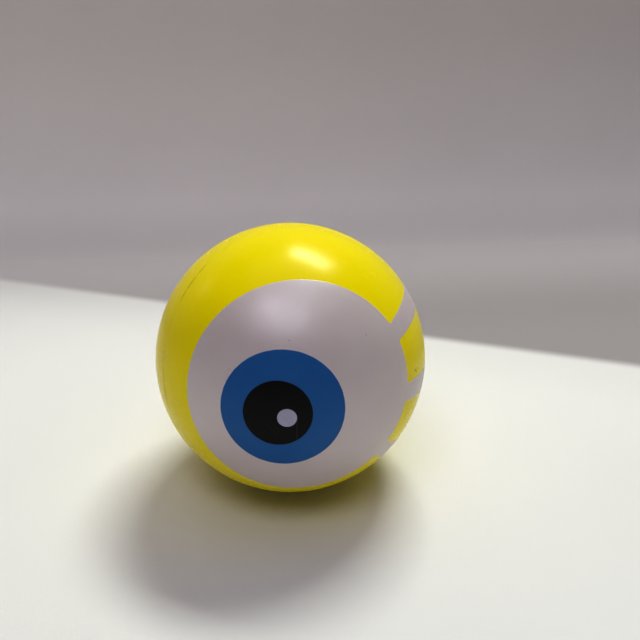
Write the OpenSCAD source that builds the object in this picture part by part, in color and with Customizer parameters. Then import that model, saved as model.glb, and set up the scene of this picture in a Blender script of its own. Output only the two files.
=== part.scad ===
// Foam stress ball with a printed cartoon eye, resting on a small flat.
// The eye looks along -Y, its lashes point to +X, and +Z is up.
// The origin is the centre of the flat that the ball rests on.

/* [Ball] */
// Outside diameter of the painted ball
ball_d = 63; // [56:0.5:74]
// Radius of the small flat that its own weight presses into the foam
rest_r = 4; // [3:0.1:4.5]

/* [Foam and paint] */
// Thickness of the dense skin that the foam forms against the mould
skin_t = 1.2; // [0.6:0.1:2.5]
// Thickness of the flexible paint coat
coat_t = 0.15; // [0.1:0.01:0.3]

/* [Mould line] */
// Height of the raised line where the two halves of the mould met
flash_h = 0.1; // [0.05:0.01:0.12]
// Width of that line where it meets the ball
flash_w = 0.4; // [0.2:0.05:0.8]
// Direction of the mould's axis, in degrees round from the front
mould_az = 24.7; // [0:0.1:45]
// Height of the mould's axis, in degrees above level
mould_el = 9; // [9:0.1:14]

/* [Prints] */
// Thickness of one film of ink
film_t = 0.1; // [0.05:0.01:0.15]

/* [White print] */
// Direction of the white disc, in degrees round from the front
white_az = 0; // [-10:0.1:10]
// Height of the white disc's centre, in degrees above level
white_el = 8.7; // [0:0.1:20]
// Angular radius of the white disc, seen from the ball's centre
white_angle = 47.2; // [40:0.1:50]

/* [Lashes] */
// Angle of the middle lash round the white disc, clockwise from the top
lash_az = 96.2; // [80:0.1:110]
// Angle from one lash to the next
lash_step = 35; // [20:0.5:40]
// Angle that one lash covers round the white disc
lash_angle = 10.5; // [6:0.1:14]
// Angle from the middle of the white disc to the far end of a lash
lash_reach = 90; // [60:0.5:95]

/* [Iris print] */
// Direction of the blue disc, in degrees round from the front
iris_az = -7.9; // [-12:0.1:0]
// Height of the blue disc's centre, in degrees above level
iris_el = 6.1; // [0:0.1:12]
// Angular radius of the blue disc
iris_angle = 23.2; // [20:0.1:26]

/* [Pupil print] */
// Direction of the black disc, in degrees round from the front
pupil_az = -9.5; // [-12:0.1:-6]
// Height of the black disc's centre, in degrees above level
pupil_el = 5.6; // [4:0.1:8]
// Angular radius of the black disc
pupil_angle = 12.7; // [11:0.1:14]

/* [Catchlight print] */
// Direction of the small white dot, in degrees round from the front
catchlight_az = -6.1; // [-10:0.1:-5]
// Height of the small white dot's centre, in degrees above level
catchlight_el = 4.4; // [3:0.1:6]
// Angular radius of the small white dot
catchlight_angle = 3.6; // [2:0.1:5]

/* [Hidden] */
$fn = 128;

ball_r = ball_d / 2;
skin_r = ball_r - coat_t;
core_r = skin_r - skin_t;

// The flat cuts off a shallow cap, so the ball's centre stands a little lower than its radius
centre_z = sqrt(ball_r * ball_r - rest_r * rest_r);

// A length that reaches past the ball from its centre
beyond = ball_r + 5;

// The lashes start well inside the white disc, clear of one another
lash_root = ball_r * sin(white_angle) / 2;

// Moves to the ball's centre and turns +Z to face out of the ball, with +Y up and +X to the right
module aim(az, el) {
    translate([0, 0, centre_z])
        rotate([90 - el, 0, az])
            children();
}

// Everything higher than z
module above(z) {
    translate([-beyond, -beyond, z])
        cube([2 * beyond, 2 * beyond, 2 * beyond]);
}

// The flash line on a ball of radius r: a low ridge with sloping sides round its equator
module flash_ring(r) {
    rotate_extrude()
        polygon([
            [r - flash_h, -flash_w * 3 / 4],
            [r + flash_h, -flash_w / 4],
            [r + flash_h, flash_w / 4],
            [r - flash_h, flash_w * 3 / 4]
        ]);
}

// One layer of the ball as it left the mould, pressed flat underneath
module moulded_ball(r) {
    intersection() {
        aim(mould_az, mould_el) {
            sphere(r);
            flash_ring(r);
        }
        above(ball_r - r);
    }
}

// A ball with no flash line, pressed flat underneath
module plain_ball(r) {
    intersection() {
        aim(mould_az, mould_el)
            sphere(r);
        above(ball_r - r);
    }
}

// A film of ink as a whole shell, on top of the given number of films
module film(films_below) {
    inner_r = ball_r + films_below * film_t;
    difference() {
        sphere(inner_r + film_t);
        sphere(inner_r);
    }
}

// A cone from the ball's centre that cuts a round print out of a film
module round_stencil(angle) {
    cylinder(h = beyond, r1 = 0, r2 = beyond * tan(angle));
}

// A wedge between two planes through the ball's centre, up to the lash's far end
module lash_stencil() {
    side = tan(lash_angle / 2);
    translate([0, 0, ball_r * cos(lash_reach)])
        linear_extrude(height = beyond)
            polygon([
                [-lash_root * side, lash_root],
                [-beyond * side, beyond],
                [beyond * side, beyond],
                [lash_root * side, lash_root]
            ]);
}

// A round print, on top of the given number of films
module round_print(az, el, angle, films_below) {
    aim(az, el)
        intersection() {
            film(films_below);
            round_stencil(angle);
        }
}

// The soft foam inside the ball
module foam_core() {
    color("ivory")
        plain_ball(core_r);
}

// The dense outer skin of the foam, with the flash line on it
module foam_skin() {
    color("wheat")
        difference() {
            moulded_ball(skin_r);
            plain_ball(core_r);
        }
}

// The paint over the whole skin
module yellow_coat() {
    color("gold")
        difference() {
            moulded_ball(ball_r);
            moulded_ball(skin_r);
        }
}

// The white disc and its three lashes, printed in one pass
module white_print() {
    color("ghostwhite")
        aim(white_az, white_el)
            intersection() {
                film(0);
                union() {
                    round_stencil(white_angle);
                    for (i = [-1 : 1])
                        rotate([0, 0, -(lash_az + i * lash_step)])
                            lash_stencil();
                }
            }
}

// The blue disc on the white
module iris_print() {
    color("royalblue")
        round_print(iris_az, iris_el, iris_angle, 1);
}

// The black disc on the blue
module pupil_print() {
    color("black")
        round_print(pupil_az, pupil_el, pupil_angle, 2);
}

// The small white dot on the black
module catchlight_print() {
    color("white")
        round_print(catchlight_az, catchlight_el, catchlight_angle, 3);
}

foam_core();
foam_skin();
yellow_coat();
white_print();
iris_print();
pupil_print();
catchlight_print();
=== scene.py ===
"""A printed foam stress ball: the looks around its CAD frame. All lengths are in metres."""

import math

import bpy
import numpy as np
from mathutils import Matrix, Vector
from mathutils.geometry import delaunay_2d_cdt


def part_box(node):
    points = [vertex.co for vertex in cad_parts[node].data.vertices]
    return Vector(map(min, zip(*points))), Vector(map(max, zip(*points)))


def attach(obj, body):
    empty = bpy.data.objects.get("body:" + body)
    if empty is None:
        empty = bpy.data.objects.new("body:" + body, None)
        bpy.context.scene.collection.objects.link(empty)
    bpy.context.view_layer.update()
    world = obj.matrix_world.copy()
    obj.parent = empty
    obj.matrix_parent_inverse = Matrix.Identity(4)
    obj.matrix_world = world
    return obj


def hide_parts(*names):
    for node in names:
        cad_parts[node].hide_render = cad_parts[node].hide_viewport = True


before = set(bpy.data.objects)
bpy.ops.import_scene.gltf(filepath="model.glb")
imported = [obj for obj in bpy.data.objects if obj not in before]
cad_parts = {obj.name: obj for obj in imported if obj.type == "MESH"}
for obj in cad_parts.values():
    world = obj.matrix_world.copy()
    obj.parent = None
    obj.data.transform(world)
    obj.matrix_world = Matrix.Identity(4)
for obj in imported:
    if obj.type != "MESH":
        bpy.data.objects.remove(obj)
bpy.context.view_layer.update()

MM = 0.001
BODY = "root"

# ---------------------------------------------------------------- measures read from the frame

core_low, core_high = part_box("foam_core")
CORE_R = (core_high.x - core_low.x) / 2
CENTRE = np.array([0, 0, core_high.z - CORE_R])
SKIN_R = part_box("foam_skin")[1].z - CENTRE[2]
BALL_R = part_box("yellow_coat")[1].z - CENTRE[2]
# Real ink is about this thin; the CAD films are thicker
FILM_T = 0.03 * MM
# The coat's points that stand this far above the ball are on the mould line
RIDGE_MIN = 0.05 * MM


def node_triangles(name):
    """The corners of a CAD node's triangles, measured from the ball's centre."""
    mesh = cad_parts[name].data
    mesh.calc_loop_triangles()
    corners = [[mesh.vertices[v].co[:] for v in t.vertices] for t in mesh.loop_triangles]
    return np.array(corners) - CENTRE


def round_print_place(name):
    """The direction that a round print faces and its angular radius.

    The middle of the print's volume is on its axis.
    """
    corners = node_triangles(name)
    volumes = np.einsum("ij,ij->i", corners[:, 0], np.cross(corners[:, 1], corners[:, 2]))
    middle = (corners.sum(1) * volumes[:, None]).sum(0)
    axis = middle / np.linalg.norm(middle)
    points = corners.reshape(-1, 3)
    cosines = points @ axis / np.linalg.norm(points, axis=1)
    return axis, math.acos(cosines.min())


def white_print_place():
    """The same for the white disc. It faces along -Y, and its left and top edges are the print's own."""
    low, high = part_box("white_print")
    film_r = np.linalg.norm(node_triangles("white_print"), axis=2).max()
    angle = math.asin(-low.x / film_r)
    elevation = math.asin((high.z - CENTRE[2]) / film_r) - angle
    return towards(0, math.degrees(elevation)), angle


def mould_axis():
    """The direction square to the mould line, which is the part of the coat that stands above the ball."""
    points = node_triangles("yellow_coat").reshape(-1, 3)
    ridge = points[np.linalg.norm(points, axis=1) > BALL_R + RIDGE_MIN]
    axis = np.linalg.svd(ridge)[2][2]
    return axis if axis[1] < 0 else -axis


def towards(azimuth, elevation):
    """The unit vector at so many degrees round from the front, from -Y to +X, and above level."""
    a, e = math.radians(azimuth), math.radians(elevation)
    return np.array([math.sin(a) * math.cos(e), -math.cos(a) * math.cos(e), math.sin(e)])


def facing(axis):
    """The rightward and upward unit vectors for someone who looks at the ball along that axis."""
    up = np.array([0, 0, 1]) - axis[2] * axis
    up /= np.linalg.norm(up)
    return np.cross(up, axis), up


MOULD = mould_axis()

# ---------------------------------------------------------------- surface of the moulded ball

# The flash line: a ridge, and a groove at an offset towards the front
RIDGE_H = 0.05 * MM
RIDGE_W = 0.16 * MM
GROOVE_D = 0.045 * MM
GROOVE_W = 0.09 * MM
GROOVE_OFFSET = 0.24 * MM
LINE_UNEVENNESS = 6 * MM
# Slow unevenness of the whole ball
SWELL_H = 0.02 * MM
SWELL_LENGTH = 11 * MM
# How gently the flat underneath meets the ball
FLAT_BLEND = 0.02 * MM
# Hidden layers stand this far apart, and the core's open cells are this wide and deep
LAYER_GAP = 0.01 * MM
CELL_LENGTH = 1.6 * MM
CELL_DEPTH = 0.05 * MM


def waves(points, wavelength, count, seed):
    """Smooth unevenness from -1 to 1 at points in space, as a sum of seeded plane waves."""
    rng = np.random.default_rng(seed)
    normals = rng.normal(size=(count, 3))
    normals /= np.linalg.norm(normals, axis=1)[:, None]
    lengths = wavelength * rng.uniform(0.7, 1.4, count)
    phases = rng.uniform(0, 2 * math.pi, count)
    total = np.zeros(len(points))
    for normal, length, phase in zip(normals, lengths, phases):
        total += np.sin(points @ normal * (2 * math.pi / length) + phase)
    return np.clip(total / math.sqrt(2 * count), -1, 1)


def swell(directions):
    """How far the surface lies inside a true sphere, from slow unevenness of the foam."""
    return SWELL_H * (waves(directions * BALL_R, SWELL_LENGTH, 24, 3) - 1)


def mould_line(directions, radius):
    """The height of the flash line and of the fine groove on its front side."""
    across = np.arcsin(np.clip(directions @ MOULD, -1, 1)) * radius
    strength = 0.5 + 0.5 * waves(directions * radius, LINE_UNEVENNESS, 16, 5)
    ridge = np.exp(-((across / RIDGE_W) ** 2)) * RIDGE_H
    groove = np.exp(-(((across - GROOVE_OFFSET) / GROOVE_W) ** 2)) * GROOVE_D
    return strength * (ridge - groove)


def on_flat(directions, radii, floor_z):
    """Radii cut back where the ball is pressed flat at height floor_z, with a slight blend at the edge."""
    down = np.minimum(directions[:, 2], -1e-6)
    to_flat = (floor_z - CENTRE[2]) / down
    nearness = np.clip(0.5 + (to_flat - radii) / (2 * FLAT_BLEND), 0, 1)
    blended = to_flat * (1 - nearness) + radii * nearness
    return blended - FLAT_BLEND * nearness * (1 - nearness)


def coat_radii(directions):
    """The coat's outer radius in each direction."""
    radii = BALL_R + swell(directions) + mould_line(directions, BALL_R)
    return on_flat(directions, radii, 0)


def coat_inner_radii(directions):
    """The coat's inner radius in each direction."""
    return on_flat(directions, np.full(len(directions), SKIN_R), BALL_R - SKIN_R)


def skin_radii(directions):
    """The foam skin's outer radius, a hair under the coat."""
    return coat_inner_radii(directions) - LAYER_GAP


def skin_inner_radii(directions):
    """The foam skin's inner radius in each direction."""
    return on_flat(directions, np.full(len(directions), CORE_R), BALL_R - CORE_R)


def core_radii(directions):
    """The foam core's radius, with the relief of its open cells."""
    cells = waves(directions * CORE_R, CELL_LENGTH, 40, 7)
    return skin_inner_radii(directions) - CELL_DEPTH * (1 + cells) - LAYER_GAP


# ---------------------------------------------------------------- meshes

SHARP_ANGLE = 50
# Distances from the mould line of the close rows beside it, in millimetres
CLOSE_ROWS = (0, 0.05, 0.1, 0.15, 0.2, 0.25, 0.3, 0.35, 0.42, 0.55)
# Spacing of rows and number of columns of the globes
COAT_STEP, COAT_COLUMNS = 0.75 * MM, 400
CORE_STEP, CORE_COLUMNS = 0.9 * MM, 220
HIDDEN_STEP, HIDDEN_COLUMNS = 1.2 * MM, 160


def finished_object(name, points, faces, material):
    """A smooth-shaded mesh object in the scene."""
    mesh = bpy.data.meshes.new(name)
    mesh.from_pydata([tuple(p) for p in points], [], [tuple(f) for f in faces])
    mesh.materials.append(material)
    mesh.shade_smooth()
    mesh.set_sharp_from_angle(angle=math.radians(SHARP_ANGLE))
    piece = bpy.data.objects.new(name, mesh)
    bpy.context.scene.collection.objects.link(piece)
    return piece


def globe(latitudes, columns, radii, inward=False):
    """Points and faces of a closed surface round the ball's centre. Its rows follow the mould line."""
    right, up = facing(MOULD)
    turns = np.arange(columns) * 2 * math.pi / columns
    rows = [np.outer(np.ones(columns), MOULD) * math.sin(a)
            + (np.outer(np.cos(turns), right) + np.outer(np.sin(turns), up)) * math.cos(a)
            for a in latitudes]
    directions = np.vstack([-MOULD[None], *rows, MOULD[None]])
    points = CENTRE + directions * radii(directions)[:, None]
    faces = []
    last = len(latitudes) - 1
    for j in range(columns):
        k = (j + 1) % columns
        faces.append((0, 1 + k, 1 + j))
        faces.append((len(points) - 1, 1 + last * columns + j, 1 + last * columns + k))
        for i in range(last):
            a = 1 + i * columns
            faces.append((a + j, a + k, a + columns + k, a + columns + j))
    if inward:
        faces = [f[::-1] for f in faces]
    return points, faces


def even_latitudes(step):
    """Row latitudes in radians for a plain globe whose rows are about step apart."""
    count = round(math.pi * BALL_R / step)
    return (np.arange(1, count) / count - 0.5) * math.pi


def fine_latitudes(step):
    """The same, with close rows beside the mould line."""
    close = np.array(CLOSE_ROWS) * MM / BALL_R
    wide = np.linspace(close[-1], math.pi / 2, round(math.pi / 2 * BALL_R / step))[1:-1]
    half = np.concatenate([close[1:], wide])
    return np.concatenate([-half[::-1], [0], half])


def joined(*parts):
    """Several sets of points and faces as one."""
    points, faces = [], []
    for part_points, part_faces in parts:
        start = sum(len(p) for p in points)
        points.append(part_points)
        faces += [tuple(start + v for v in f) for f in part_faces]
    return np.vstack(points), faces


# A film's rounded edge: millimetres in from the outline, and share of the full thickness there
EDGE_RINGS = ((0, 0), (0.03, 0.55), (0.07, 0.9), (0.13, 1))
# How far a film reaches into what it is printed on
FILM_SINK = 0.01 * MM
OUTLINE_STEP = 0.25 * MM
EDGE_WOBBLE = 0.02 * MM
EDGE_WOBBLE_LENGTH = 1.6 * MM
# The inner grid keeps this share of its spacing from the outline
GRID_CLEARANCE = 0.6


def even_outline(polar):
    """A closed outline at even steps on a flat map.

    Each corner is given as its angle from the axis and its angle clockwise from the top.
    """
    corners = np.array([(t * math.sin(c), t * math.cos(c)) for t, c in polar]) * BALL_R
    closed = np.vstack([corners, corners[:1]])
    run = np.concatenate([[0], np.cumsum(np.linalg.norm(np.diff(closed, axis=0), axis=1))])
    count = round(run[-1] / OUTLINE_STEP)
    places = np.arange(count) / count * run[-1]
    return np.stack([np.interp(places, run, closed[:, i]) for i in (0, 1)], 1)


def softened(outline, passes):
    """The outline with its corners rounded."""
    for _ in range(passes):
        outline = (np.roll(outline, 1, 0) + 2 * outline + np.roll(outline, -1, 0)) / 4
    return outline


def outward(outline):
    """The outward unit normals of a clockwise outline."""
    along = np.roll(outline, -1, 0) - np.roll(outline, 1, 0)
    along /= np.linalg.norm(along, axis=1)[:, None]
    return np.stack([-along[:, 1], along[:, 0]], 1)


def inside(points, outline):
    """Which points lie inside the outline."""
    x, y = points[:, 0][:, None], points[:, 1][:, None]
    ax, ay = outline[:, 0], outline[:, 1]
    bx, by = np.roll(ax, -1), np.roll(ay, -1)
    crosses = (ay > y) != (by > y)
    level = np.where(by == ay, 1e-12, by - ay)
    return (crosses & (x < ax + (y - ay) / level * (bx - ax))).sum(1) % 2 == 1


def grid_points(outline, step, margin):
    """Staggered grid points inside an outline, clear of its edge."""
    low, high = outline.min(0), outline.max(0)
    rows = np.arange(low[1], high[1], step * math.sqrt(3) / 2)
    points = np.array([(x + step / 2 * (i % 2), y)
                       for i, y in enumerate(rows) for x in np.arange(low[0], high[0], step)])
    points = points[inside(points, outline)]
    gaps = np.min([np.linalg.norm(points - p, axis=1) for p in outline], axis=0)
    return points[gaps > margin]


def film(axis, outline, films_below, wobble_seed, step):
    """Points, faces and edge distances of a film of ink that follows the ball."""
    flat = np.column_stack([outline, np.zeros(len(outline))])
    wobble = waves(flat, EDGE_WOBBLE_LENGTH, 20, wobble_seed) * EDGE_WOBBLE
    outline = outline + outward(outline) * wobble[:, None]
    normals = outward(outline)
    rings = [outline - normals * inset * MM for inset, _ in EDGE_RINGS]
    middle = grid_points(rings[-1], step, GRID_CLEARANCE * step)
    count = len(outline)
    first = (len(rings) - 1) * count
    map_points = np.vstack([*rings, middle])
    heights, insets = (
        np.concatenate([*[np.full(count, ring[i]) for ring in EDGE_RINGS], np.ones(len(middle))])
        for i in (1, 0))

    filled = delaunay_2d_cdt([Vector(p / MM) for p in map_points[first:]], [],
                             [list(range(count))[::-1]], 1, 1e-7)
    origins = [first + source[0] for source in filled[3]]
    faces = [tuple(origins[v] for v in f) for f in filled[2]]
    for ring in range(len(rings) - 1):
        for j in range(count):
            k = (j + 1) % count
            faces.append((ring * count + j, (ring + 1) * count + j,
                          (ring + 1) * count + k, ring * count + k))
    total = len(map_points)
    sides = [(j, (j + 1) % count, total + (j + 1) % count, total + j) for j in range(count)]
    faces = faces + [tuple(total + v for v in f[::-1]) for f in faces] + sides

    right, up = facing(axis)
    away = np.linalg.norm(map_points, axis=1)
    spread = np.sin(away / BALL_R) / np.maximum(away, 1e-9)
    directions = (np.cos(away / BALL_R)[:, None] * axis
                  + (spread * map_points[:, 0])[:, None] * right
                  + (spread * map_points[:, 1])[:, None] * up)
    base = coat_radii(directions) + films_below * FILM_T
    points = np.vstack([CENTRE + directions * (base + heights * FILM_T)[:, None],
                        CENTRE + directions * (base - FILM_SINK)[:, None]])
    return points, faces, np.concatenate([insets, insets])


def film_object(name, made, material):
    """A film as an object, with its distance from the edge in millimetres as the attribute edge."""
    points, faces, insets = made
    piece = finished_object(name, points, faces, material)
    edge = piece.data.attributes.new("edge", "FLOAT", "POINT")
    edge.data.foreach_set("value", insets.astype(np.float32))
    return piece


def round_outline(angle):
    """A round print's outline on its flat map, clockwise."""
    return even_outline([(angle, math.radians(c)) for c in range(360)])


# The lashes' places round the white disc, clockwise from the top, their width and their reach, in degrees
LASH_TURNS = (61.2, 96.2, 131.2)
LASH_ANGLE = 10.5
LASH_REACH = 90
# Steps along the arcs, in degrees, and points along each side of a lash
ARC_STEP = 0.5
LASH_POINTS = 80
# How many times the corners are rounded
CORNER_PASSES = 3


def white_outline(angle):
    """The outline of the white disc with its three lashes, clockwise from the top."""
    reach = math.radians(LASH_REACH)
    polar = []
    clock = 0.0
    for lash in LASH_TURNS:
        start, end = lash - LASH_ANGLE / 2, lash + LASH_ANGLE / 2
        polar += [(angle, math.radians(c)) for c in np.arange(clock, start, ARC_STEP)]
        polar += [(t, math.radians(start)) for t in np.linspace(angle, reach, LASH_POINTS)]
        polar += [(reach, math.radians(c)) for c in np.arange(start + ARC_STEP, end, ARC_STEP)]
        polar += [(t, math.radians(end)) for t in np.linspace(reach, angle, LASH_POINTS)]
        clock = end + ARC_STEP
    polar += [(angle, math.radians(c)) for c in np.arange(clock, 360, ARC_STEP)]
    return softened(even_outline(polar), CORNER_PASSES)


# ---------------------------------------------------------------- materials

# How far from its middle the noise still counts as a fine scratch
SCRATCH_WIDTH = 0.006
# A stroke is full inside the first share of its width and gone outside the second
STROKE_CORE, STROKE_END = 0.3, 0.6


class Finish:
    """A node material under construction round a Principled shader, in the row frame's coordinates."""

    def __init__(self, name, **sockets):
        self.material = bpy.data.materials.new(name)
        self.material.use_nodes = True
        self.tree = self.material.node_tree
        self.shader = self.tree.nodes["Principled BSDF"]
        for socket, value in sockets.items():
            self.shader.inputs[socket.replace("_", " ")].default_value = value
        self.place = self.add("ShaderNodeTexCoord").outputs["Object"]

    def add(self, kind, **settings):
        """A new node with the given settings."""
        node = self.tree.nodes.new(kind)
        for key, value in settings.items():
            setattr(node, key, value)
        return node

    def feed(self, socket, value):
        """Links a socket to another, or sets its value."""
        if isinstance(value, bpy.types.NodeSocket):
            self.tree.links.new(value, socket)
        else:
            socket.default_value = value

    def math(self, operation, *values):
        """The result of an operation on numbers or sockets."""
        node = self.add("ShaderNodeMath", operation=operation)
        for socket, value in zip(node.inputs, values):
            self.feed(socket, value)
        return node.outputs[0]

    def vector(self, operation, *values, output=0):
        """The result of an operation on vectors."""
        node = self.add("ShaderNodeVectorMath", operation=operation)
        for socket, value in zip(node.inputs, values):
            self.feed(socket, value)
        return node.outputs[output]

    def dot(self, value, way):
        """How far a vector reaches along a direction."""
        return self.vector("DOT_PRODUCT", value, tuple(way), output="Value")

    def separate(self, axis):
        """One coordinate of the place."""
        node = self.add("ShaderNodeSeparateXYZ")
        self.feed(node.inputs[0], self.place)
        return node.outputs[axis]

    def noise(self, size, detail=2.0, roughness=0.5, stretch=None, offset=0.0):
        """Noise whose features are about size across, in metres."""
        place = self.place
        if stretch:
            place = self.vector("MULTIPLY", place, stretch)
        if offset:
            place = self.vector("ADD", place, (offset, offset, offset))
        node = self.add("ShaderNodeTexNoise")
        self.feed(node.inputs["Vector"], place)
        node.inputs["Scale"].default_value = 1 / size
        node.inputs["Detail"].default_value = detail
        node.inputs["Roughness"].default_value = roughness
        return node.outputs["Fac"]

    def specks(self, size, share, spacing):
        """1 inside sparse round specks of about size across, and 0 elsewhere."""
        node = self.add("ShaderNodeTexVoronoi")
        self.feed(node.inputs["Vector"], self.place)
        node.inputs["Scale"].default_value = 1 / spacing
        chosen = self.math("LESS_THAN", self.dot(node.outputs["Color"], (1, 0, 0)), share)
        near = self.ramp(node.outputs["Distance"], 0.5 * size / spacing, 0.25 * size / spacing)
        return self.math("MULTIPLY", chosen, near)

    def ramp(self, value, start, end, low=0.0, high=1.0):
        """value from start to end as a smooth step from low to high."""
        node = self.add("ShaderNodeMapRange", interpolation_type="SMOOTHSTEP")
        for name, setting in (("Value", value), ("From Min", start), ("From Max", end),
                              ("To Min", low), ("To Max", high)):
            self.feed(node.inputs[name], setting)
        return node.outputs["Result"]

    def mix(self, factor, first, second):
        """A colour between first and second."""
        node = self.add("ShaderNodeMix", data_type="RGBA")
        colours = [s for s in node.inputs if s.type == "RGBA"]
        self.feed(node.inputs[0], factor)
        self.feed(colours[0], first)
        self.feed(colours[1], second)
        return next(s for s in node.outputs if s.type == "RGBA")

    def stroke(self, start, end, width):
        """1 along a short line on the ball, and 0 elsewhere. Its ends are (azimuth, elevation)."""
        a, b = towards(*start) * BALL_R, towards(*end) * BALL_R
        length = np.linalg.norm(b - a)
        along = (b - a) / length
        middle = (a + b) / np.linalg.norm(a + b)
        direction = self.vector("NORMALIZE", self.vector("SUBTRACT", self.place, tuple(CENTRE)))
        run, aside, near = (self.math("MULTIPLY", self.dot(direction, way), BALL_R)
                            for way in (along, np.cross(middle, along), middle))
        past = self.math("SUBTRACT", self.math("ABSOLUTE", run), length / 2)
        past = self.math("MAXIMUM", self.math("MAXIMUM", past, 0.0), self.math("MULTIPLY", near, -1.0))
        gap = self.math("SQRT", self.math("ADD", self.math("MULTIPLY", past, past),
                                          self.math("MULTIPLY", aside, aside)))
        return self.ramp(gap, width * STROKE_END, width * STROKE_CORE)

    def scratches(self, size, stretch, offset=0.0):
        """Thin lines where stretched noise crosses its middle."""
        noise = self.noise(size, 1.0, 0.5, stretch, offset)
        lines = self.math("ABSOLUTE", self.math("SUBTRACT", noise, 0.5))
        return self.ramp(lines, SCRATCH_WIDTH, 0.0)

    def bump(self, *layers):
        """Stacks (height socket, distance) layers onto the shader's normal."""
        normal = None
        for height, distance in layers:
            node = self.add("ShaderNodeBump")
            node.inputs["Distance"].default_value = distance
            self.feed(node.inputs["Height"], height)
            if normal:
                self.feed(node.inputs["Normal"], normal)
            normal = node.outputs["Normal"]
        self.feed(self.shader.inputs["Normal"], normal)

    def colour(self, value):
        """Feeds the shader's base colour."""
        self.feed(self.shader.inputs["Base Color"], value)

    def roughness(self, value):
        """Feeds the shader's roughness."""
        self.feed(self.shader.inputs["Roughness"], value)


YELLOW = (0.92, 0.78, 0.0006, 1)
YELLOW_WORN = (0.88, 0.74, 0.002, 1)
# Dark brown for dust specks, the tick mark, and the mould line's groove, where it is dirt and painted
# shade
DIRT_AND_SHADE = (0.10, 0.065, 0.012, 1)
WHITE = (0.66, 0.58, 0.575, 1)
WHITE_WORN = (0.625, 0.54, 0.525, 1)
BLUE = (0.024, 0.142, 0.38, 1)
BLUE_WORN = (0.036, 0.168, 0.405, 1)
BLACK = (0.006, 0.006, 0.006, 1)
BLACK_WORN = (0.012, 0.011, 0.011, 1)
DOT = (0.48, 0.48, 0.60, 1)
DOT_WORN = (0.39, 0.38, 0.46, 1)
FOAM = (0.86, 0.78, 0.58, 1)
# The foam's deeper tone, used also as painted shade in the open cells' pits
FOAM_DARK = (0.70, 0.58, 0.36, 1)
SKIN = (0.84, 0.74, 0.50, 1)

# The corners of the small tick mark by the middle lash, as (azimuth, elevation)
TICK = ((54.5, 8.0), (55.9, 6.3), (56.9, 7.1))
# The stretches of the mould line with a dark line of dirt and painted groove shade: start and end as turns
# about its axis, and strength.
# The turns are in degrees from SEAM_START.
SEAM_START = 158
SEAM_STRETCHES = ((-33, -15, 0.8), (4, 34, 0.5))


def coat_finish():
    """Satin yellow paint: fine orange peel, faint scuffs, and a dark line of dirt and painted shade in the
    groove of the mould line.
    """
    f = Finish("satin_yellow", IOR=1.5, Specular_IOR_Level=0.16)
    patches = f.ramp(f.noise(18 * MM, 3), 0.35, 0.7)
    colour = f.mix(f.math("MULTIPLY", patches, 0.4), YELLOW, YELLOW_WORN)
    # The mould line's groove darkened: dirt, and painted shade of the groove
    colour = f.mix(mould_line_dirt_and_shade(f), colour, DIRT_AND_SHADE)
    specks = f.specks(0.25 * MM, 0.05, 8 * MM)
    colour = f.mix(f.math("MULTIPLY", specks, 0.35), colour, DIRT_AND_SHADE)
    tick = f.math("MAXIMUM", f.stroke(*TICK[:2], 0.26 * MM),
                  f.math("MULTIPLY", f.stroke(*TICK[1:], 0.18 * MM), 0.4))
    tick = f.math("MULTIPLY", tick, f.ramp(f.noise(0.5 * MM, 2), 0.35, 0.55, 0.4, 1.0))
    colour = f.mix(f.math("MULTIPLY", tick, 0.7), colour, DIRT_AND_SHADE)
    f.colour(colour)
    scuffs = f.ramp(f.noise(5 * MM, 6, 0.65, (1, 1, 2.5)), 0.56, 0.74)
    fine = f.scratches(2.2 * MM, (1, 0.35, 1))
    rough = f.math("ADD", f.ramp(f.noise(9 * MM, 4), 0.3, 0.7, 0.232, 0.268),
                   f.math("MULTIPLY", scuffs, 0.045))
    f.roughness(f.math("ADD", rough, f.math("MULTIPLY", fine, 0.03)))
    f.bump((f.noise(0.7 * MM, 2), 0.0045 * MM), (f.noise(0.12 * MM, 2), 0.0008 * MM),
           (f.math("SUBTRACT", 1.0, tick), 0.02 * MM))
    return f.material


def mould_line_dirt_and_shade(f):
    """Dirt and painted shade in the mould line's groove, as a thin dark line: two clear stretches at the
    left, and faint traces elsewhere.
    """
    offset = f.vector("SUBTRACT", f.place, tuple(CENTRE))
    gap = f.math("ABSOLUTE", f.math("SUBTRACT", f.dot(offset, MOULD), GROOVE_OFFSET))
    line = f.ramp(gap, 0.15 * MM, 0.03 * MM)
    right, up = facing(MOULD)
    a = math.radians(SEAM_START)
    ahead = right * math.cos(a) + up * math.sin(a)
    aside = up * math.cos(a) - right * math.sin(a)
    turn = f.math("DEGREES", f.math("ARCTAN2", f.dot(offset, aside), f.dot(offset, ahead)))
    strength = f.ramp(f.noise(9 * MM, 2, offset=0.3), 0.5, 0.66, 0.0, 0.16)
    for start, end, most in SEAM_STRETCHES:
        span = f.math("MULTIPLY", f.ramp(turn, start - 2, start + 3), f.ramp(turn, end + 2, end - 3))
        strength = f.math("MAXIMUM", strength, f.math("MULTIPLY", span, most))
    broken = f.ramp(f.noise(2.2 * MM, 2, offset=0.3), 0.36, 0.56, 0.25, 1.0)
    return f.math("MULTIPLY", line, f.math("MULTIPLY", broken, strength))


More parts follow.
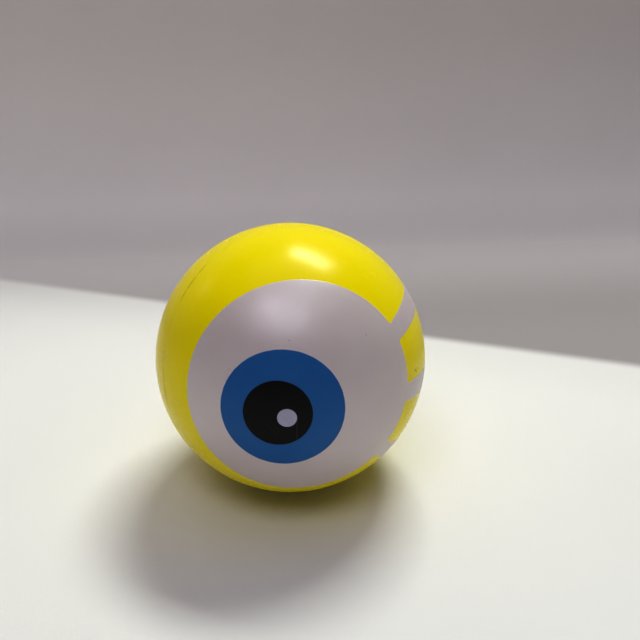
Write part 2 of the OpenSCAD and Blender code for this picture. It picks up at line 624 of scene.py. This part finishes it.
def ink_finish(name, fresh, worn, edge_colour, rough, gloss, marks=(), ior=1.5):
    """A film of ink: slight changes of tone and gloss, pinholes, fine scratches and a thin edge."""
    f = Finish(name, IOR=ior, Specular_IOR_Level=gloss)
    patches = f.ramp(f.noise(9 * MM, 4, 0.6), 0.38, 0.68)
    colour = f.mix(f.math("MULTIPLY", patches, 0.4), fresh, worn)
    edge = f.add("ShaderNodeAttribute", attribute_name="edge").outputs["Fac"]
    thin = f.ramp(edge, 0.12, 0.0)
    colour = f.mix(f.math("MULTIPLY", thin, 0.45), colour, edge_colour)
    pinholes = f.specks(0.2 * MM, 0.06, 6 * MM)
    colour = f.mix(f.math("MULTIPLY", pinholes, 0.25), colour, edge_colour)
    for start, end, width, strength, tint in marks:
        mask = f.math("MULTIPLY", f.stroke(start, end, width), strength)
        colour = f.mix(mask, colour, tint)
    f.colour(colour)
    fine = f.scratches(1.6 * MM, (1, 1, 0.3), 0.11)
    base = f.ramp(f.noise(6 * MM, 4), 0.3, 0.7, rough - 0.03, rough + 0.04)
    f.roughness(f.math("ADD", base, f.math("MULTIPLY", fine, 0.06)))
    f.bump((f.noise(0.6 * MM, 2), 0.004 * MM), (f.noise(0.1 * MM, 2), 0.001 * MM),
           (f.math("SUBTRACT", 1.0, pinholes), 0.008 * MM))
    return f.material


def foam_finish(name, pale, deep, cell):
    """Foam with open cells of about the given size, darker in the cells' pits as painted shade."""
    f = Finish(name)
    node = f.add("ShaderNodeTexVoronoi")
    f.feed(node.inputs["Vector"], f.place)
    node.inputs["Scale"].default_value = 1 / cell
    pits = f.ramp(node.outputs["Distance"], 0.1, 0.6)
    # Painted shade: the deep tone fills the cells' pits
    colour = f.mix(pits, deep, pale)
    shade = f.ramp(f.noise(8 * MM, 3), 0.3, 0.7, 0.0, 0.35)
    f.colour(f.mix(shade, colour, deep))
    f.roughness(f.ramp(f.noise(2 * MM, 2), 0.3, 0.7, 0.82, 0.95))
    f.bump((pits, 0.3 * cell))
    return f.material


def floor_finish():
    """A plain matt pale floor with painted shade: a little darker towards a line at the back, and grey
    behind it.
    """
    f = Finish("pale_floor", Roughness=0.9)
    pale = f.mix(f.noise(60 * MM, 3), FLOOR_TONE, FLOOR_SHADE)
    past = f.dot(f.vector("SUBTRACT", f.place, (0, FAR_LINE_Y, 0)), FAR_LINE_NORMAL)
    # Painted shade: the pale floor darkens a little towards the line
    pale = f.mix(f.ramp(past, -35 * MM, 0, 0.0, 0.1), pale, PAINTED_SHADE_NEAR)
    # Painted shade: grey behind the line, deepest at the line and paler farther back
    grey = f.mix(f.ramp(f.separate("Y"), 85 * MM, 195 * MM), PAINTED_SHADE_NEAR, PAINTED_SHADE_FAR)
    f.colour(f.mix(f.ramp(past, -4 * MM, 3 * MM), pale, grey))
    f.bump((f.noise(0.5 * MM, 2), 0.03 * MM))
    return f.material


def backdrop_finish():
    """The grey of the standing sheet, toned by height as painted shade and light: darker low in the bend,
    paler at the bend's top, where less light falls from above.
    """
    f = Finish("grey_backdrop", Roughness=0.9)
    height = f.separate("Z")
    # Painted shade and light by height: dark low in the bend, pale up the wall, a little deeper at the top
    tone = f.mix(f.ramp(height, -14 * MM, 20 * MM), BEND_PAINTED_SHADE, WALL_PAINTED_LIGHT)
    tone = f.mix(f.ramp(height, 35 * MM, 115 * MM), tone, GREY_TOP)
    f.colour(f.mix(f.ramp(f.noise(90 * MM, 3), 0.3, 0.7, 0.0, 0.06), tone, BEND_PAINTED_SHADE))
    f.bump((f.noise(0.5 * MM, 2), 0.03 * MM))
    return f.material


def surround_finish():
    """A grey for the far wall, which starts as pale as the floor and deepens up the bend."""
    f = Finish("grey_surround", Roughness=0.9)
    deep = f.mix(f.noise(200 * MM, 3), SURROUND_TONE, SURROUND_SHADE)
    f.colour(f.mix(f.ramp(f.separate("Z"), 0, 80 * MM), FLOOR_TONE, deep))
    f.bump((f.noise(0.5 * MM, 2), 0.03 * MM))
    return f.material


# ---------------------------------------------------------------- the ball

# Small marks of use: start and end (azimuth, elevation), width, strength and colour
SCRATCH_TONE = (0.08, 0.08, 0.08, 1)
FLECK_TONE = (0.22, 0.22, 0.30, 1)
WHITE_MARKS = (
    ((-5.1, 32.5), (-4.7, 32.4), 0.34 * MM, 0.3, FLECK_TONE),
    ((29.4, 30.7), (29.5, 30.2), 0.32 * MM, 0.3, FLECK_TONE),
    ((-28.7, 20.5), (-28.5, 20.5), 0.3 * MM, 0.25, FLECK_TONE),
)
BLACK_MARKS = (
    ((-2.6, 3.3), (-2.7, -5.2), 0.13 * MM, 0.5, SCRATCH_TONE),
    ((-14.5, 3.2), (-9.8, -2.6), 0.12 * MM, 0.22, SCRATCH_TONE),
    ((-12.6, 3.4), (-8.6, -1.6), 0.12 * MM, 0.22, SCRATCH_TONE),
)
DOT_MARKS = (
    ((-7.4, 7.2), (-3.4, 2.4), 0.1 * MM, 0.1, SCRATCH_TONE),
    ((-8.6, 6.2), (-4.8, 1.4), 0.1 * MM, 0.08, SCRATCH_TONE),
)

WHITE_AXIS, WHITE_ANGLE = white_print_place()
IRIS_AXIS, IRIS_ANGLE = round_print_place("iris_print")
PUPIL_AXIS, PUPIL_ANGLE = round_print_place("pupil_print")
DOT_AXIS, DOT_ANGLE = round_print_place("catchlight_print")

FILM_STEP = 0.8 * MM
SMALL_FILM_STEP = 0.5 * MM

core = finished_object(
    "moulded_core",
    *globe(even_latitudes(CORE_STEP), CORE_COLUMNS, core_radii),
    foam_finish("open_foam", FOAM, FOAM_DARK, 0.5 * MM))
skin = finished_object(
    "moulded_skin",
    *joined(globe(even_latitudes(HIDDEN_STEP), HIDDEN_COLUMNS, skin_radii),
            globe(even_latitudes(HIDDEN_STEP), HIDDEN_COLUMNS, skin_inner_radii, inward=True)),
    foam_finish("dense_foam", SKIN, FOAM_DARK, 0.25 * MM))
coat = finished_object(
    "painted_coat",
    *joined(globe(fine_latitudes(COAT_STEP), COAT_COLUMNS, coat_radii),
            globe(even_latitudes(HIDDEN_STEP), HIDDEN_COLUMNS, coat_inner_radii, inward=True)),
    coat_finish())
white = film_object(
    "printed_white",
    film(WHITE_AXIS, white_outline(WHITE_ANGLE), 0, 11, FILM_STEP),
    ink_finish("white_ink", WHITE, WHITE_WORN, YELLOW_WORN, 0.37, 1.0, WHITE_MARKS, 1.58))
iris = film_object(
    "printed_iris",
    film(IRIS_AXIS, round_outline(IRIS_ANGLE), 1, 12, FILM_STEP),
    ink_finish("blue_ink", BLUE, BLUE_WORN, WHITE_WORN, 0.34, 0.22))
pupil = film_object(
    "printed_pupil",
    film(PUPIL_AXIS, round_outline(PUPIL_ANGLE), 2, 13, FILM_STEP),
    ink_finish("black_ink", BLACK, BLACK_WORN, BLUE, 0.34, 0.16, BLACK_MARKS))
dot = film_object(
    "printed_catchlight",
    film(DOT_AXIS, round_outline(DOT_ANGLE), 3, 14, SMALL_FILM_STEP),
    ink_finish("pale_ink", DOT, DOT_WORN, BLACK_WORN, 0.34, 0.3, DOT_MARKS))

PIECES = (
    (core, "foam_core", "foam_core"),
    (skin, "foam_skin", "foam_skin"),
    (coat, "yellow_coat", "yellow_coat"),
    (white, "white_print", "white_print"),
    (iris, "iris_print", "iris_print"),
    (pupil, "pupil_print", "pupil_print"),
    (dot, "catchlight_print", "catchlight_print"),
)
for piece, node, slot in PIECES:
    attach(piece, BODY)
    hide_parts(node)

# ---------------------------------------------------------------- floor, backdrop, light and camera

# Sizes in metres
FLOOR_HALF = 1.5
# Stage pieces that lie on the floor start this far above it
LIFT = 0.02 * MM
# Past a straight line behind the ball the floor is painted grey, as painted shade
FAR_LINE_Y = 96 * MM
FAR_LINE_NORMAL = (0.424, 0.906, 0)
FLOOR_TONE = (0.80, 0.79, 0.76, 1)
FLOOR_SHADE = (0.76, 0.75, 0.72, 1)
# Painted shade on the floor behind the far line, deepest at the line
PAINTED_SHADE_NEAR = (0.365, 0.335, 0.335, 1)
PAINTED_SHADE_FAR = (0.70, 0.66, 0.655, 1)
# The standing sheet's tones by height: painted shade low in the bend, painted light up the wall, a little
# deeper at the top
BEND_PAINTED_SHADE = (0.56, 0.53, 0.525, 1)
WALL_PAINTED_LIGHT = (0.88, 0.84, 0.83, 1)
GREY_TOP = (0.735, 0.69, 0.665, 1)
WALL_Y = 0.22
WALL_H = 0.32
WALL_LEAN = 0.02
WALL_BEND = 0.05
BACKDROP_HALF = 0.98
SURROUND_R = 1.0
SURROUND_BEND = 0.25
SURROUND_H = 0.5
SURROUND_TONE = (0.46, 0.45, 0.45, 1)
SURROUND_SHADE = (0.42, 0.41, 0.41, 1)
SURROUND_SIDES = 120

floor = finished_object(
    "floor",
    [(-FLOOR_HALF, -FLOOR_HALF, 0), (FLOOR_HALF, -FLOOR_HALF, 0),
     (FLOOR_HALF, FLOOR_HALF, 0), (-FLOOR_HALF, FLOOR_HALF, 0)],
    [(0, 1, 2, 3)], floor_finish())


def bend_profile(reach, radius, steps):
    """(distance, height) along a quarter bend from the floor up to a wall at the given distance."""
    return [(reach - radius * (1 - math.sin(a)), radius * (1 - math.cos(a)) + LIFT)
            for a in np.linspace(0, math.pi / 2, steps)]


def backdrop_mesh():
    """A sheet that rises from the floor in a bend and stands behind the ball, leaning back a little."""
    profile = bend_profile(WALL_Y, WALL_BEND, 16) + [(WALL_Y + WALL_LEAN, WALL_H)]
    points = [(x, y, z) for y, z in profile for x in (-BACKDROP_HALF, BACKDROP_HALF)]
    faces = [(2 * i, 2 * i + 1, 2 * i + 3, 2 * i + 2) for i in range(len(profile) - 1)]
    return points, faces


backdrop = finished_object("backdrop", *backdrop_mesh(), backdrop_finish())


def surround_mesh():
    """A round studio wall far from the ball, with a bend where it meets the floor."""
    profile = bend_profile(SURROUND_R, SURROUND_BEND, 12) + [(SURROUND_R, SURROUND_H)]
    turns = np.arange(SURROUND_SIDES) * 2 * math.pi / SURROUND_SIDES
    points = [(r * math.cos(t), r * math.sin(t), z) for r, z in profile for t in turns]
    faces = []
    for i in range(len(profile) - 1):
        low, high = i * SURROUND_SIDES, (i + 1) * SURROUND_SIDES
        for j in range(SURROUND_SIDES):
            k = (j + 1) % SURROUND_SIDES
            faces.append((low + j, high + j, high + k, low + k))
    return points, faces


surround = finished_object("surround", *surround_mesh(), surround_finish())


def soft_light(name, azimuth, elevation, distance, width, height, power, colour):
    """A rectangular light that faces the ball, in metres and watts."""
    data = bpy.data.lights.new(name, "AREA")
    data.shape = "RECTANGLE"
    data.size, data.size_y = width, height
    data.energy = power
    data.color = colour
    lamp = bpy.data.objects.new(name, data)
    out = Vector(towards(azimuth, elevation))
    lamp.location = Vector(CENTRE) + out * distance
    lamp.rotation_mode = "QUATERNION"
    lamp.rotation_quaternion = (-out).to_track_quat("-Z", "Y")
    bpy.context.scene.collection.objects.link(lamp)


# The first and strongest comes from behind on the right, as the photograph's highlight shows
soft_light("main_light", 148.5, 61.5, 1.0, 0.44, 0.18, 7.85, (0.95, 1, 0.94))
soft_light("front_light", -16, 59, 0.8, 0.48, 0.26, 1.7, (0.99, 0.955, 1.08))
soft_light("left_light", -120, 31.7, 0.28, 0.03, 0.03, 0.012, (1, 0.95, 0.7))
soft_light("top_light", 0, 89, 1.2, 1.2, 1.2, 3.2, (1.02, 0.99, 1.1))

WORLD_TONE = (0.004, 0.004, 0.004, 1)
world = bpy.data.worlds.new("studio")
world.use_nodes = True
background = world.node_tree.nodes["Background"]
background.inputs["Color"].default_value = WORLD_TONE
background.inputs["Strength"].default_value = 1.0
bpy.context.scene.world = world

# The camera's place and aim, fitted to the photograph's view of a ball this size
LENS = 38.81
SENSOR = 36
CAMERA_FROM = towards(-4.161, 26.934)
CAMERA_DISTANCE = 5.2338 * BALL_R
CAMERA_AIM = -towards(-6.826, 23.971)
# How steeply the picture's tones rise, as in the photograph
TONE_GAMMA = 0.74

camera_data = bpy.data.cameras.new("camera")
camera_data.lens = LENS
camera_data.sensor_width = SENSOR
camera_data.clip_start = 0.01
camera_data.clip_end = 10
camera = bpy.data.objects.new("camera", camera_data)
camera.location = Vector(CENTRE + CAMERA_FROM * CAMERA_DISTANCE)
camera.rotation_mode = "QUATERNION"
camera.rotation_quaternion = Vector(CAMERA_AIM).to_track_quat("-Z", "Y")
bpy.context.scene.collection.objects.link(camera)
bpy.context.scene.camera = camera
bpy.context.scene.view_settings.view_transform = "Standard"
bpy.context.scene.view_settings.gamma = TONE_GAMMA
